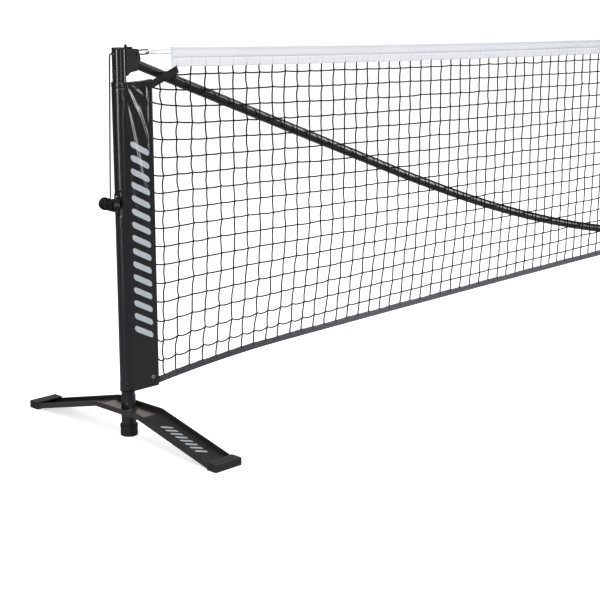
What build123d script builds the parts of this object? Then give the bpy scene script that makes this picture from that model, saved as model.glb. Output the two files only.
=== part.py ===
from build123d import *
import os
from math import atan, cos, degrees, pi, radians, sin, sqrt, tan

os.makedirs("parts", exist_ok=True)

# Portable court net on two posts. Millimetres, +Z up, X along the net, -Y is the front face.
# The origin is on the floor under the middle of the net. Each end is drawn once, in its own
# frame with the post's axis at X = 0 and +X towards the net, and mirrored for the other end.

# ---- driving sizes ---------------------------------------------------------------------------
half_span = 3353.0           # post axis to the middle: 22 ft between the posts
post_height = 914.0          # floor to the top of the post: 36 in
net_sag = 48.0               # how far the tape hangs lower in the middle
slide_gap = 0.06             # radial clearance of every tube that slides in another
rest_gap = 0.3               # between soft parts and their neighbours
weld_gap = 0.05              # between pieces of one body that are pressed or welded together

post_od = 31.75
post_wall = 1.5
post_bottom = 16.0

stub_wall = 1.6
stub_top = 100.0
stub_bottom = 6.0
foot_od = 41.0
foot_height = 27.0

base_reach = 352.0           # post axis to the outer face of an end cap
base_width = 74.0
base_metal = 2.6
base_lip = 13.0
plate_z = 62.0               # underside of the raised middle of the base
plate_half = 80.0
leg_flat = 34.0
base_bend_radius = 26.0
cap_wall = 3.0
cap_length = 31.0
cap_grip = 25.0              # how far the channel goes into its cap

bow_od = 25.0
bow_wall = 1.5
spigot_length = 60.0
spigot_wall = 1.5
hub_socket = 58.0            # how far a bow end goes into the hub
bow_top_x = post_od / 2 + 8.125    # end of the top spigot, from the post's axis
bow_top_z = post_height - 30.0
bow_low_z = 120.9            # height that the bow comes down to at the hub
bow_fall = (bow_top_z - bow_low_z) / (half_span - bow_top_x)
bow_rise = degrees(atan(1.58782 * bow_fall))    # slope of the bow where it meets the post
bow_straight = 0.30039 * (half_span - bow_top_x)    # straight stretch below the bracket
bow_share = 0.47             # share of the bend in the lower tube, and in the middle one
joint_straight = 86.0        # straight stretch at each plug joint
top_spigot = 118.0

hub_wall = 2.0
hub_length = 126.0
foot_plate = 3.0
foot_spread = 95.0
foot_width = 135.0
foot_top_width = 64.0
notch_width = 62.0
notch_height = 44.0
pad_height = 5.0
rod_od = 19.0
rod_wall = 1.5
rod_socket = 42.0
rod_socket_wall = 2.0

net_y = -post_od / 2 - 1.625       # the plane of the tape, the mesh and the bottom band
tape_height = 46.0
tape_thickness = 3.2
tape_end = 142.0             # post axis to the end of the tape
tape_drop = 2.0              # top of the post to the top of the tape at its end
mesh_thickness = 2.4
band_height = 18.0
band_thickness = 3.0
band_side_z = 124.0          # middle of the band at the sleeve
band_bend_x = 500.0          # where the band starts to drop, from the post's axis
band_bend_z = 151.0
band_middle_z = 174.0

sleeve_right = 80.0
sleeve_top = post_height - 77.0
sleeve_bottom = 111.0
sleeve_wall = 1.4
strap_width = 18.0
strap_thickness = 1.6

cleat_z = post_height - 353.0
cord_d = 3.4
loop_d = 3.0

post_r = post_od / 2
post_top_cap = 4.0
stub_ri = post_r + slide_gap
stub_r = stub_ri + stub_wall
tube_r = bow_od / 2
tube_ri = tube_r - bow_wall
spigot_r = tube_ri - slide_gap
spigot_ri = spigot_r - spigot_wall
hub_ri = tube_r + slide_gap
hub_r = hub_ri + hub_wall

sizes = {}


def save(name, shape):
    """One named piece, written as its own file."""
    export_step(shape, f"parts/{name}.step")
    sizes[name] = shape


def pair(name, end_shape):
    """A piece drawn in the left end's frame, and its mirror image at the right end."""
    left = Pos(-half_span, 0, 0) * end_shape
    save(name + "_left", left)
    save(name + "_right", mirror(left, about=Plane.YZ))


def group(*shapes):
    """Several loose solids that make one piece."""
    solids = [solid for shape in shapes for solid in shape.solids()]
    return Compound(children=solids)


def rod(start, end, radius):
    """A round bar between two points."""
    run = Vector(*end) - Vector(*start)
    ends = Plane(origin=Vector(*start), z_dir=run)
    return extrude(ends * Circle(radius), run.length)


def slab(outline, y_low, y_high):
    """A flat piece: its outline is drawn in X and Z, its thickness lies along Y."""
    face = Plane.XZ * outline
    return Pos(0, y_high, 0) * extrude(face, y_high - y_low)


def polygon(*points):
    """A closed outline with straight sides, its centre where the points say."""
    return make_face(Polyline(*points, close=True))


# ---- base: pressed channel, welded stub, rubber foot, end caps ---------------------------------
def base_channel():
    """One steel strip with turned-up lips, raised in the middle and bent down at both ends."""
    end_z = cap_wall + 0.2
    tip = base_reach - cap_length + cap_grip
    low = base_reach - leg_flat
    points = [(0, -tip, end_z), (0, -low, end_z), (0, -plate_half, plate_z)]
    points += [(0, plate_half, plate_z), (0, low, end_z), (0, tip, end_z)]
    path = FilletPolyline(*points, radius=base_bend_radius)
    half = base_width / 2
    section = polygon(
        (-half, 0), (half, 0), (half, -base_lip), (half - base_metal, -base_lip),
        (half - base_metal, -base_metal), (base_metal - half, -base_metal),
        (base_metal - half, -base_lip), (-half, -base_lip),
    )
    start = Plane(origin=(0, -tip, end_z), x_dir=(1, 0, 0), z_dir=(0, 1, 0))
    strip = sweep(start * section, path=path)
    hole = Pos(0, 0, plate_z) * Cylinder(stub_r + weld_gap, 4 * base_lip)
    return strip - hole


def end_cap(side):
    """Moulded cap over one end of the channel. side is -1 at the front and 1 at the back."""
    width = base_width + 2 * cap_wall
    height = base_lip + 2 * cap_wall + 0.4
    body = Box(width, cap_length, height)
    body = fillet(body.edges().filter_by(Axis.X).group_by(Axis.Y)[0], 2.4)
    body = fillet(body.edges().filter_by(Axis.Z), 3.0)
    body = Pos(0, cap_length / 2, height / 2) * body
    pocket = Box(base_width + 0.4, cap_grip + 0.2, base_lip + 0.4)
    pocket = Pos(0, cap_length - (cap_grip + 0.2) / 2, cap_wall + (base_lip + 0.4) / 2) * pocket
    cap = Pos(0, -base_reach, 0) * (body - pocket)
    return cap if side < 0 else Rot(0, 0, 180) * cap


def base_stub():
    """Tube welded through the base. The post drops into it."""
    height = stub_top - stub_bottom
    tube = Cylinder(stub_r, height) - Cylinder(stub_ri, height)
    tube = Pos(0, 0, stub_bottom + height / 2) * tube
    return tube - button_hole()


def base_foot():
    """Rubber foot on the lower end of the stub, with a raised lip round its mouth."""
    cup = Pos(0, 0, foot_height / 2) * Cylinder(foot_od / 2, foot_height)
    cup = fillet(cup.edges().group_by(Axis.Z)[0], 2.0)
    rim = Pos(0, 0, foot_height - 2.5) * Cylinder(foot_od / 2 + 0.8, 5)
    pocket = Pos(0, 0, stub_bottom + foot_height / 2) * Cylinder(stub_r + weld_gap, foot_height)
    return cup + rim - pocket


# ---- post, cap and base button -----------------------------------------------------------------
button_z = 80.0
button_r = 4.0
button_proud = 2.0
button_travel = stub_r + button_proud - post_r
button_turn = -50.0          # the button faces the front outer corner
post_ri = post_r - post_wall
rivet_zs = (post_height - 16, post_height - 54)
rivet_r = 2.5
screw_zs = (cleat_z - 15, cleat_z + 15)
screw_r = 2.0
cord_exit_z = post_height - 12.8


def button_hole():
    """Where the sprung button comes out through the stub and the post, at the front."""
    hole = rod((0, -stub_r - 1, button_z), (0, 0, button_z), button_r + slide_gap)
    return Rot(0, 0, button_turn) * hole


def post():
    """Steel tube with holes for the button, the rivets, the cleat's screws and the cord."""
    top = post_height - post_top_cap
    height = top - post_bottom
    tube = Cylinder(post_r, height) - Cylinder(post_ri, height)
    tube = Pos(0, 0, post_bottom + height / 2) * tube - button_hole()
    for z in rivet_zs:
        tube = tube - rod((-post_od, 0, z), (post_od, 0, z), rivet_r + weld_gap)
    for z in screw_zs:
        tube = tube - rod((-post_od, 0, z), (0, 0, z), screw_r + weld_gap)
    return tube - rod((-post_od, cord_y, cord_exit_z), (0, cord_y, cord_exit_z), cord_d / 2 + 0.6)


def post_cap():
    """Plastic plug: a rim on the tube's end and a skirt inside it."""
    bottom = post_height - post_top_cap
    rim = Pos(0, 0, bottom + post_top_cap / 2) * Cylinder(post_r, post_top_cap)
    rim = fillet(rim.edges().group_by(Axis.Z)[-1], 1.4)
    skirt_r = post_ri - weld_gap
    skirt = Pos(0, 0, bottom - 4) * (Cylinder(skirt_r, 8) - Cylinder(skirt_r - 2, 8))
    return rim + skirt


def base_button():
    """Round pin with a domed nose and a flange that stops it inside the post."""
    nose = -stub_r - button_proud
    pin = rod((0, nose + 1.5, button_z), (0, -post_ri + 3.5, button_z), button_r)
    tip = Pos(0, nose + 1.5, button_z) * Rot(90, 0, 0) * Cone(button_r, 2.2, 1.5,
        align=(Align.CENTER, Align.CENTER, Align.MIN))
    flange = rod((0, -post_ri + 1.6, button_z), (0, -post_ri + 3.5, button_z), button_r + 2.0)
    return Rot(0, 0, button_turn) * (pin + tip + flange)


# ---- bow bracket, rivets ------------------------------------------------------------------------
bracket_half = 14.5
bracket_right = bow_top_x + 28.0
bow_dir = Vector(cos(radians(bow_rise)), 0, -sin(radians(bow_rise)))
bow_top = Vector(bow_top_x, 0, bow_top_z)


def bow_bracket():
    """Welded socket block on the inner side of the post, with the cord's hook on top."""
    left = post_r - 6
    top = post_height - 4
    outline = polygon(
        (left, top), (bracket_right - 6, top), (bracket_right, top - 22),
        (bracket_right - 10, top - 49), (left + 13, top - 52), (left + 7, top - 55),
        (left + 5.5, top - 59), (left, top - 59),
    )
    block = slab(outline, -bracket_half, bracket_half)
    block = fillet(block.edges().filter_by(Axis.Y).sort_by(Axis.X)[-3:], 3.0)
    peak = slab(polygon((post_r, top - 1), (post_r + 10, top - 1), (post_r + 4, top + 11)), -3.0, 3.0)
    bump = Pos(post_r + 16, 0, top + 2) * Box(9, 9, 5)
    block = block + peak + bump
    recess = slab(polygon((left + 14, top - 6), (bracket_right - 12, top - 6),
        (bracket_right - 9, top - 20), (left + 14, top - 9)), -bracket_half, 1.2 - bracket_half)
    block = block - recess - mirror(recess, about=Plane.XZ)
    block = block - Pos(0, 0, top - 30) * Cylinder(post_r + weld_gap, 80)
    far = bow_top + bow_dir * 60
    block = block - rod(tuple(bow_top - bow_dir * 1.0), tuple(far), spigot_r + slide_gap)
    for z in rivet_zs:
        block = block - rod((0, 0, z), (rivet_tip + 0.5, 0, z), rivet_r + weld_gap)
    return block


rivet_tip = post_r + 4.0


def bracket_rivets():
    """Two rivets through the post into the bracket, domed heads on the outer side."""
    made = []
    for z in rivet_zs:
        shank = rod((-post_r, 0, z), (rivet_tip, 0, z), rivet_r)
        head = rod((-post_r - 2.0, 0, z), (-post_r, 0, z), 4.5)
        head = fillet(head.edges().group_by(Axis.X)[0], 1.2)
        made.append(head + shank)
    return group(*made)


# ---- horn cleat, its screws and the cord --------------------------------------------------------
cleat_pad = 3.0
horn_x = -post_r - 23.0
neck_r = 6.0
horn_half = 33.0
horn_r = 7.0
horn_tip_r = 8.5
cord_y = 6.0
wrap_half_y = 20.0
wrap_r = 14.0
wrap_end_r = 10.0
pad_half_y = 8.0
pad_half_z = 24.0


def horn_bar():
    """The cleat's bar: thickest in the middle, round at both ends, along X."""
    shoulder = horn_half - horn_tip_r
    nose = (shoulder + horn_tip_r * cos(radians(45)), horn_tip_r * sin(radians(45)))
    half = [
        Line((0, 0), (0, horn_r)),
        Line((0, horn_r), (shoulder, horn_tip_r)),
        ThreePointArc((shoulder, horn_tip_r), nose, (horn_half, 0)),
        Line((horn_half, 0), (0, 0)),
    ]
    bar = revolve(make_face(half), Axis.X)
    return bar + mirror(bar, about=Plane.YZ)


def cleat():
    """Two-horned cleat: a curved pad on the post, a neck and a tapered bar along Y."""
    pad = Pos(-post_r - cleat_pad / 2 + 0.8, 0, cleat_z) * Box(cleat_pad + 1.6, 2 * pad_half_y,
        2 * pad_half_z)
    pad = fillet(pad.edges().filter_by(Axis.X), 5.0)
    neck = rod((-post_r - 1, 0, cleat_z), (horn_x, 0, cleat_z), neck_r)
    horn = Pos(horn_x, 0, cleat_z) * Rot(0, 0, 90) * horn_bar()
    body = pad + neck + horn - Pos(0, 0, cleat_z) * Cylinder(post_r + weld_gap, 4 * pad_half_z)
    for z in screw_zs:
        body = body - rod((-post_od, 0, z), (0, 0, z), screw_r + weld_gap)
    return body


def cleat_screws():
    """Two pan-head screws through the cleat's pad into the post's wall."""
    face = -post_r - cleat_pad
    made = []
    for z in screw_zs:
        shank = rod((face, 0, z), (-post_ri, 0, z), screw_r)
        head = rod((face - 1.8, 0, z), (face, 0, z), 3.8)
        head = fillet(head.edges().group_by(Axis.X)[0], 0.8)
        made.append(head + shank)
    return group(*made)


def cleat_wrap():
    """The turns of cord round the cleat's bar, as one barrel-shaped solid."""
    half = [
        Line((-wrap_half_y, 0), (-wrap_half_y, wrap_end_r)),
        ThreePointArc((-wrap_half_y, wrap_end_r), (0, wrap_r), (wrap_half_y, wrap_end_r)),
        Line((wrap_half_y, wrap_end_r), (wrap_half_y, 0)),
        Line((wrap_half_y, 0), (-wrap_half_y, 0)),
    ]
    barrel = revolve(make_face(half), Axis.X)
    place = Pos(horn_x, 0, cleat_z) * Rot(0, 0, 90)
    bore = rod((horn_x, -post_od, cleat_z), (horn_x, post_od, cleat_z), horn_tip_r + weld_gap)
    neck = rod((-post_r, 0, cleat_z), (horn_x, 0, cleat_z), neck_r + weld_gap)
    return place * barrel - bore - neck


# The cord leaves the post through a small hole near its top and runs taut to the cleat.
cord_points = [
    (-post_ri, cord_y, cord_exit_z),
    (-post_r - 5, cord_y, cord_exit_z),
    (-post_r - 6, cord_y, cord_exit_z - 14),
    (horn_x + 3, 0, cleat_z + wrap_r + 0.2),
]


def corner_radii(points, share=0.45):
    """The largest arc that each corner's two runs allow, and never under one diameter."""
    radii = []
    for a, b, c in zip(points, points[1:], points[2:]):
        first, second = Vector(*b) - Vector(*a), Vector(*c) - Vector(*b)
        half_turn = radians(first.get_angle(second)) / 2
        radii.append(share * min(first.length, second.length) / tan(half_turn))
    return radii


def cord_tube(name, points, diameter):
    """A cord's tube: straight runs joined by tangent arcs."""
    radii = corner_radii(points)
    print(name, "radii", [round(r, 1) for r in radii])
    path = FilletPolyline(*points, radius=radii)
    start = Plane(origin=path @ 0, z_dir=path % 0)
    tube = sweep(start * Circle(diameter / 2), path=path)
    section = pi * diameter ** 2 / 4
    print(name, "length", round(path.length, 1), "share", round(tube.volume / section / path.length, 4))
    return tube


# ---- bow: three plug-together tubes a side --------------------------------------------------------
# It is drawn for the right side, from the hub outwards, as straight stretches and arcs of one
# radius, shared out so that the three tubes are about equally long.
turns = (bow_rise * bow_share, bow_rise * bow_share, bow_rise * (1 - 2 * bow_share))


def bow_radius():
    """The bend radius that brings the bow from the level hub to the bracket."""
    straight = hub_socket + 14
    straight += joint_straight * (cos(radians(turns[0])) + cos(radians(turns[0] + turns[1])))
    straight += bow_straight * cos(radians(bow_rise))
    run = half_span - bow_top_x
    return (run - straight) / sin(radians(bow_rise))


class Walk:
    """A point that moves in the X-Z plane and remembers its heading."""

    def __init__(self, x, z, heading=0.0):
        self.x, self.z, self.heading = x, z, heading

    def along(self, length):
        a = radians(self.heading)
        start = (self.x, self.z)
        self.x += length * cos(a)
        self.z += length * sin(a)
        return Line(start, (self.x, self.z))

    def turn(self, radius, angle):
        a = radians(self.heading)
        arc = JernArc((self.x, self.z), (cos(a), sin(a)), radius, angle)
        self.x, self.z = (arc @ 1).X, (arc @ 1).Y
        self.heading += angle
        return arc

    def copy(self):
        return Walk(self.x, self.z, self.heading)


def ring_along(pieces, outer, inner):
    """A tube along joined lines and arcs that are drawn in the X-Z plane."""
    path = Plane.XZ * Wire([edge for piece in pieces for edge in piece.edges()])
    start = Plane(origin=path @ 0, z_dir=path % 0)
    return sweep(start * (Circle(outer) - Circle(inner)), path=path)


def bow_sections():
    """The three tubes of one side, and where and how steeply each starts."""
    radius = bow_radius()
    seat = spigot_length + 4
    probe = Walk(0, 0)
    probe.along(hub_socket + 14)
    probe.turn(radius, turns[0])
    probe.along(joint_straight)
    probe.turn(radius, turns[1])
    probe.along(joint_straight)
    probe.turn(radius, turns[2])
    probe.along(bow_straight)
    rise = probe.z
    walk = Walk(4, bow_top_z - rise)
    starts = [walk.copy()]
    first = [walk.along(hub_socket + 10), walk.turn(radius, turns[0])]
    first.append(walk.along(joint_straight - seat))
    shapes = [ring_along(first, tube_r, tube_ri) + plug(walk, spigot_length)]
    walk.along(0.1)
    starts.append(walk.copy())
    second = [walk.along(seat - 0.1), walk.turn(radius, turns[1]), walk.along(joint_straight - seat)]
    shapes.append(ring_along(second, tube_r, tube_ri) + plug(walk, spigot_length))
    walk.along(0.1)
    starts.append(walk.copy())
    third = [walk.along(seat - 0.1), walk.turn(radius, turns[2]), walk.along(bow_straight - top_spigot)]
    shapes.append(ring_along(third, tube_r, tube_ri) + plug(walk, top_spigot))
    return shapes, starts


def plug(walk, length):
    """The swaged spigot on the outer end of a bow tube, with its shoulder."""
    a = radians(walk.heading)
    out = Vector(cos(a), 0, sin(a))
    end = Vector(walk.x, 0, walk.z)
    shoulder = rod(tuple(end - out * 6), tuple(end), tube_ri + 0.2)
    pin = rod(tuple(end - out * 6), tuple(end + out * length), spigot_r)
    bore = rod(tuple(end - out * 7), tuple(end + out * (length + 1)), spigot_ri)
    return shoulder + pin - bore


# ---- tape, mesh, bottom band --------------------------------------------------------------------
tape_z = post_height - tape_drop           # top of the tape at its ends
tape_middle_z = tape_z - net_sag
tape_run = half_span - tape_end
side_x = half_span - sleeve_right - rest_gap
bend_x = half_span - band_bend_x


def tape():
    """The folded white tape along the top, which hangs lower in the middle."""
    top = ThreePointArc((-tape_run, tape_z), (0, tape_middle_z), (tape_run, tape_z))
    low = tape_height
    bottom = ThreePointArc((tape_run, tape_z - low), (0, tape_middle_z - low), (-tape_run, tape_z - low))
    sides = [Line(top @ 1, bottom @ 0), Line(bottom @ 1, top @ 0)]
    face = make_face([top, sides[0], bottom, sides[1]])
    return slab(face, net_y - tape_thickness / 2, net_y + tape_thickness / 2)


def band_line(offset):
    """The bottom band's run from the left sleeve to the right one, moved up by offset."""
    side, bend, middle = band_side_z + offset, band_bend_z + offset, band_middle_z + offset
    centre = ThreePointArc((-bend_x, bend), (0, middle), (bend_x, bend))
    out = TangentArc((bend_x, bend), (side_x, side), tangent=centre % 1)
    inward = mirror(out, about=Plane.YZ)
    return [inward, centre, out]


def band():
    """The folded ribbon along the bottom of the mesh."""
    top, bottom = band_line(band_height / 2), band_line(-band_height / 2)
    half = band_height / 2
    ends = [Line((x, band_side_z - half), (x, band_side_z + half)) for x in (-side_x, side_x)]
    face = make_face(top + bottom + ends)
    return slab(face, net_y - band_thickness / 2, net_y + band_thickness / 2)


def mesh():
    """The panel that the knotted mesh fills, between the sleeves, the tape and the band."""
    low = band_line(band_height / 2 + rest_gap)
    gap = tape_height + rest_gap
    end_z = tape_z - gap
    top = ThreePointArc((-tape_run, end_z), (0, tape_middle_z - gap), (tape_run, end_z))
    low_z = band_side_z + band_height / 2 + rest_gap
    sides = []
    for x, corner in ((-side_x, -tape_run), (side_x, tape_run)):
        sides.append(Line((x, low_z), (x, sleeve_top)))
        sides.append(Line((x, sleeve_top), (corner, end_z)))
    face = make_face(low + [top] + sides)
    return slab(face, net_y - mesh_thickness / 2, net_y + mesh_thickness / 2)


# ---- sleeve, grommet, strap and the cords that hold the tape ----------------------------------------
sleeve_in = post_r + rest_gap
sleeve_out = sleeve_in + sleeve_wall
window_half = pad_half_z + 3.0
tail_front = net_y - tape_thickness / 2
tail_back = net_y + tape_thickness / 2


def sleeve():
    """Vinyl wrap round the post, drawn out to a flat edge where the mesh is sewn on."""
    height = sleeve_top - sleeve_bottom
    tail = polygon((0, -sleeve_out), (sleeve_right, tail_front), (sleeve_right, tail_back),
        (4, sqrt(sleeve_out ** 2 - 16)), (0, 0))
    body = Pos(0, 0, sleeve_bottom) * extrude(tail, height)
    body = body + Pos(0, 0, sleeve_bottom + height / 2) * Cylinder(sleeve_out, height)
    body = body - Pos(0, 0, sleeve_bottom + height / 2) * Cylinder(sleeve_in, height + 2)
    window = Box(30, 2 * pad_half_y + 8, 2 * window_half)
    return body - Pos(-22, 0, cleat_z) * window


grommet_x = sleeve_right - 18.0
grommet_z = sleeve_bottom + 24.0


def sleeve_grommet():
    """Metal eyelet near the sleeve's lower corner."""
    front = -sleeve_out - (sleeve_out + tail_front) * -grommet_x / sleeve_right - 0.15
    ring = rod((grommet_x, front - 1.2, grommet_z), (grommet_x, front, grommet_z), 4.6)
    return ring - rod((grommet_x, front - 2, grommet_z), (grommet_x, front + 1, grommet_z), 2.2)


def side_strap():
    """Webbing from the sleeve's top corner to the tape's lower corner, in front of both."""
    low, high = Vector(sleeve_right - 14, sleeve_top - 13), Vector(tape_end + 15, tape_z - tape_height - 6)
    across = (high - low).normalized().rotate(Axis.Z, 90) * (strap_width / 2)
    corners = [low + across, high + across, high - across, low - across]
    front = tail_front - rest_gap
    return slab(polygon(*[(c.X, c.Y) for c in corners]), front - strap_thickness, front)


# A black loop comes out of the bracket. A white one, the end of the tape's head cord, hooks it.
loop_y = -9.5
loop_tip = 78.0
loop_points = [
    (bracket_right + rest_gap, loop_y, post_height - 7.5),
    (loop_tip, loop_y, post_height - 7),
    (loop_tip, loop_y, post_height - 16),
    (bracket_right + rest_gap, loop_y, post_height - 16.5),
]
head_points = [
    (tape_end - rest_gap, net_y - 0.3, post_height - 8.5),
    (loop_tip - 4.4, loop_y - 4.8, post_height - 11.6),
    (loop_tip - 4.4, loop_y + 4.5, post_height - 11.6),
    (tape_end - rest_gap, net_y + 0.3, post_height - 17.5),
]


# ---- the middle: hub, foot, rod -----------------------------------------------------------------
sections, starts = bow_sections()
hub_z = starts[0].z
rod_r = rod_od / 2
socket_ri = rod_r + slide_gap
socket_r = socket_ri + rod_socket_wall
rod_bottom = hub_z + hub_r + 0.5
rod_top = tape_middle_z - 6.0


def centre_hub():
    """Level tube that both halves of the bow plug into, with an upright socket welded on top."""
    level = rod((-hub_length / 2, 0, hub_z), (hub_length / 2, 0, hub_z), hub_r)
    upright = rod((0, 0, hub_z), (0, 0, rod_bottom + rod_socket), socket_r)
    bore = rod((0, 0, rod_bottom - 0.5), (0, 0, rod_bottom + rod_socket + 1), socket_ri)
    body = level + upright - bore
    for side in (-1, 1):
        body = body - rod((side * 3.9, 0, hub_z), (side * hub_length, 0, hub_z), hub_ri)
    return body


def centre_foot():
    """Bent plate: a saddle over the hub and two sloping sides, each notched into two feet."""
    inner = hub_r + weld_gap
    outer = inner + foot_plate
    half = foot_width / 2
    ring = Cylinder(outer, foot_width) - Cylinder(inner, foot_width + 2)
    saddle = Pos(0, 0, hub_z) * Rot(0, 90, 0) * ring
    saddle = saddle - Pos(0, 0, hub_z - outer) * Box(2 * foot_width, 4 * outer, 2 * outer)
    side = Plane.YZ * polygon(
        (-outer, hub_z), (-inner, hub_z), (-foot_spread + foot_plate, pad_height),
        (-foot_spread, pad_height),
    )
    side = Pos(-half, 0, 0) * extrude(side, foot_width)
    body = saddle + side + mirror(side, about=Plane.XZ)
    top = hub_z + outer
    taper = (foot_width - foot_top_width) / 2
    outline = polygon((-half, 0), (half, 0), (half - taper, top + 1), (taper - half, top + 1))
    notch = polygon((-notch_width / 2, -1), (notch_width / 2, -1), (notch_width / 2 - 12, notch_height),
        (12 - notch_width / 2, notch_height))
    body = body & slab(outline, -2 * foot_spread, 2 * foot_spread)
    body = body - slab(notch, -2 * foot_spread, 2 * foot_spread)
    return body - rod((0, 0, hub_z), (0, 0, top + 10), socket_r + weld_gap)


def foot_pads():
    """Rubber pads under the four feet."""
    inside = notch_width / 2
    length = foot_width / 2 - inside - 4
    made = []
    for x in (-1, 1):
        for y in (-1, 1):
            pad = fillet(Box(length, 11, pad_height).edges().filter_by(Axis.Z), 3.0)
            place = Pos(x * (inside + 1 + length / 2), y * (foot_spread - 3), pad_height / 2)
            made.append(place * pad)
    return group(*made)


def centre_rod():
    """Upright tube that holds the middle of the tape at its height."""
    return rod((0, 0, rod_bottom), (0, 0, rod_top), rod_r) - rod(
        (0, 0, rod_bottom - 1), (0, 0, rod_top + 1), rod_r - rod_wall)


def rod_cap():
    """Plastic plug in the top of the rod."""
    rim = fillet(rod((0, 0, rod_top), (0, 0, rod_top + 4), rod_r).edges().group_by(Axis.Z)[-1], 2.0)
    return rim + rod((0, 0, rod_top - 9), (0, 0, rod_top), rod_r - rod_wall - weld_gap)


def centre_loop():
    """Webbing loop on the back of the tape. The rod stands in it."""
    back = rod_r + rest_gap + 1.8
    front = tail_back + 0.05
    body = Box(2 * back, back - front, 30)
    body = fillet(body.edges().filter_by(Axis.Z).group_by(Axis.Y)[-1], 7.0)
    body = Pos(0, (back + front) / 2, tape_middle_z - 30) * body
    return body - rod((0, 0, tape_middle_z - 80), (0, 0, tape_middle_z), rod_r + rest_gap)


# ---- all pieces ---------------------------------------------------------------------------------
pair("base_channel", base_channel())
pair("base_cap_front", end_cap(-1))
pair("base_cap_back", end_cap(1))
pair("base_stub", base_stub())
pair("base_foot", base_foot())
pair("base_button", base_button())
pair("post", post())
pair("post_cap", post_cap())
pair("bow_bracket", bow_bracket())
pair("bracket_rivets", bracket_rivets())
pair("cleat", cleat())
pair("cleat_screws", cleat_screws())
pair("cleat_wrap", cleat_wrap())
pair("tension_cord", cord_tube("tension_cord", cord_points, cord_d))
pair("cord_loop", cord_tube("cord_loop", loop_points, loop_d))
pair("headline_end", cord_tube("headline_end", head_points, loop_d))
pair("sleeve", sleeve())
pair("sleeve_grommet", sleeve_grommet())
pair("side_strap", side_strap())

for name, section in zip(("bow_lower", "bow_middle", "bow_upper"), sections):
    save(name + "_right", section)
    save(name + "_left", mirror(section, about=Plane.YZ))

save("tape", tape())
save("mesh", mesh())
save("bottom_band", band())
save("centre_hub", centre_hub())
save("centre_foot", centre_foot())
save("foot_pads", foot_pads())
save("centre_rod", centre_rod())
save("rod_cap", rod_cap())
save("centre_loop", centre_loop())

print("bow radius", round(bow_radius(), 1))
for name, start in zip(("hub", "joint B", "joint A"), starts):
    print(name, "x", round(start.x, 1), "z", round(start.z, 1), "slope", round(start.heading, 2))
print("button travel", round(button_travel, 2), "pieces", len(sizes))
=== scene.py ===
from math import cos, pi, radians, sin, sqrt

import bmesh
import bpy
import numpy as np
from mathutils import Euler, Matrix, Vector


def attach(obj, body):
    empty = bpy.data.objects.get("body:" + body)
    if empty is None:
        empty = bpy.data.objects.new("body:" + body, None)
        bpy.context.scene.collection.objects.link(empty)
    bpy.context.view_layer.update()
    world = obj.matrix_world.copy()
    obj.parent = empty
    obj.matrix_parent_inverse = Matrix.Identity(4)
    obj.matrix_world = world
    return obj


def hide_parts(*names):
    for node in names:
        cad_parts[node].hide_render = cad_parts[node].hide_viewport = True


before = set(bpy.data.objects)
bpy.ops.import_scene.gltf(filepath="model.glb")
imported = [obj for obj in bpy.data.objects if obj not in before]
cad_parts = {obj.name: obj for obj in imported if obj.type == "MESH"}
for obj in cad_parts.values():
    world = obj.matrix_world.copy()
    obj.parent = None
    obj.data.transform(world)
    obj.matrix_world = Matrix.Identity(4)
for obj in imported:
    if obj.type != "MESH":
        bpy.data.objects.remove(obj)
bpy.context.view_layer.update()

# ---- the room -----------------------------------------------------------------------------------
# A pale studio floor that runs out to a white surround. Tall soft lights stand outside the left
# post, down the court and in front, a wide one behind and one overhead, under a soft high sun.
HALF = 3.353                     # post axis to the middle of the net


class Wire:
    """A value in a material's nodes. A sum written on wires adds its Math nodes."""

    def __init__(self, finish, socket):
        self.finish = finish
        self.socket = socket

    def maths(self, operation, *terms):
        return self.finish.node("Math", {"operation": operation}, dict(enumerate(terms)))

    def __add__(self, other):
        return self.maths("ADD", self, other)

    def __sub__(self, other):
        return self.maths("SUBTRACT", self, other)

    def __mul__(self, other):
        return self.maths("MULTIPLY", self, other)

    def __truediv__(self, other):
        return self.maths("DIVIDE", self, other)

    def __radd__(self, other):
        return self.maths("ADD", other, self)

    def __rsub__(self, other):
        return self.maths("SUBTRACT", other, self)

    def __rmul__(self, other):
        return self.maths("MULTIPLY", other, self)

    def __abs__(self):
        return self.maths("ABSOLUTE", self)

    def below(self, limit, soft):
        """1 where the value is under limit, 0 above it, with an edge soft wide."""
        return self.finish.node("Clamp", {}, {"Value": (limit - self) / soft + 0.5})

    def sine(self):
        return self.maths("SINE", self)

    def fraction(self):
        return self.maths("FRACT", self)

    def root(self):
        return self.maths("SQRT", self)

    def at_least(self, other):
        return self.maths("MAXIMUM", self, other)

    def at_most(self, other):
        return self.maths("MINIMUM", self, other)


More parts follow.
